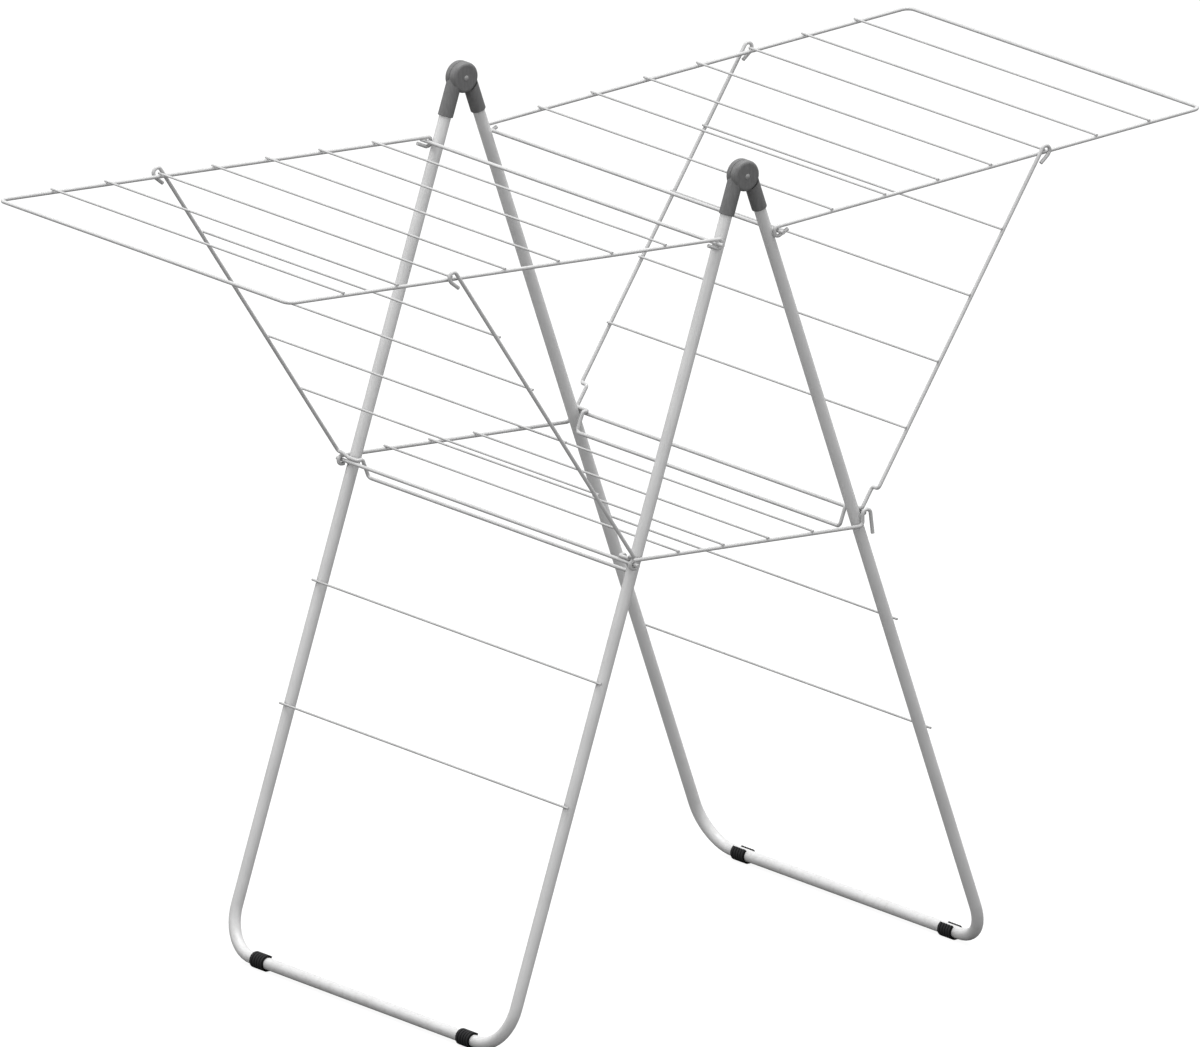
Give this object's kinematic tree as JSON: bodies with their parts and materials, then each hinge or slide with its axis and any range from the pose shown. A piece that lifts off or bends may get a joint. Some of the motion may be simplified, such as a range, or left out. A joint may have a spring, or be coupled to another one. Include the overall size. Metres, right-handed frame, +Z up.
{
  "type": "clothes drying rack",
  "caption": "Folding X-frame clothes drying rack with tube legs, two hinged wire wings held up by wire struts, and a wire shelf between the legs.",
  "frame": {"origin": "on the floor, midway between the four feet, under the hinge line", "axes": "+X along the hinge line, +Y across the rack towards the rear wing, +Z up"},
  "size_m": [0.644, 1.4892, 1.1391],
  "materials": {
    "leg_tube": "light grey powder coat, satin",
    "frame_wire": "light grey plastic coat on steel wire",
    "line_wire": "light grey plastic coat on steel wire",
    "hinge_plastic": "dark grey, satin moulded",
    "foot_plastic": "black, soft moulded",
    "rivet": "dark grey"
  },
  "bodies": {
    "front_frame": {"front_leg_tube": "leg_tube", "front_leg_line_upper": "line_wire", "front_leg_line_lower": "line_wire", "front_wing_rod": "frame_wire", "front_shelf_rod": "frame_wire", "front_foot_left": "foot_plastic", "front_foot_right": "foot_plastic", "front_hinge_half_left": "hinge_plastic", "hinge_rivet_left": "rivet", "front_hinge_half_right": "hinge_plastic", "hinge_rivet_right": "rivet"},
    "rear_frame": {"rear_leg_tube": "leg_tube", "rear_leg_line_upper": "line_wire", "rear_leg_line_lower": "line_wire", "rear_wing_rod": "frame_wire", "rear_shelf_rod": "frame_wire", "rear_foot_left": "foot_plastic", "rear_foot_right": "foot_plastic", "rear_hinge_half_left": "hinge_plastic", "rear_hinge_half_right": "hinge_plastic"},
    "front_wing": {"front_wing_frame": "frame_wire", "front_wing_lines": "line_wire"},
    "rear_wing": {"rear_wing_frame": "frame_wire", "rear_wing_lines": "line_wire"},
    "front_strut": {"front_strut_frame": "frame_wire", "front_strut_lines": "line_wire"},
    "rear_strut": {"rear_strut_frame": "frame_wire", "rear_strut_lines": "line_wire"},
    "shelf": {"shelf_side_left": "frame_wire", "shelf_side_right": "frame_wire", "shelf_lines": "line_wire"}
  },
  "joints": [
    {"name": "frame_fold", "type": "hinge", "parent": "front_frame", "child": "rear_frame", "pos_m": [0, 0, 1.1185], "axis": [-1, 0, 0], "range_deg": [0, 33]},
    {"name": "shelf_swing", "type": "hinge", "parent": "front_frame", "child": "shelf", "pos_m": [0, -0.18968, 0.6321], "axis": [-1, 0, 0], "range_deg": [0, 94.06]},
    {"name": "front_wing_fold", "type": "hinge", "parent": "front_frame", "child": "front_wing", "pos_m": [0, -0.04926, 1.03715], "axis": [1, 0, 0], "range_deg": [0, 72]},
    {"name": "front_strut_swing", "type": "hinge", "parent": "front_frame", "child": "front_strut", "pos_m": [0, -0.18968, 0.6321], "axis": [1, 0, 0], "range_deg": [0, 123.85]},
    {"name": "rear_wing_fold", "type": "hinge", "parent": "rear_frame", "child": "rear_wing", "pos_m": [0, 0.04926, 1.03715], "axis": [-1, 0, 0], "range_deg": [0, 72]},
    {"name": "rear_strut_swing", "type": "hinge", "parent": "rear_frame", "child": "rear_strut", "pos_m": [0, 0.18968, 0.6321], "axis": [-1, 0, 0], "range_deg": [0, 123.85]}
  ],
  "couplings": [
    {"joint": "shelf_swing", "follows": "frame_fold", "ratio": 2.85},
    {"joint": "front_strut_swing", "follows": "front_wing_fold", "ratio": 1.72},
    {"joint": "rear_strut_swing", "follows": "rear_wing_fold", "ratio": 1.72}
  ]
}
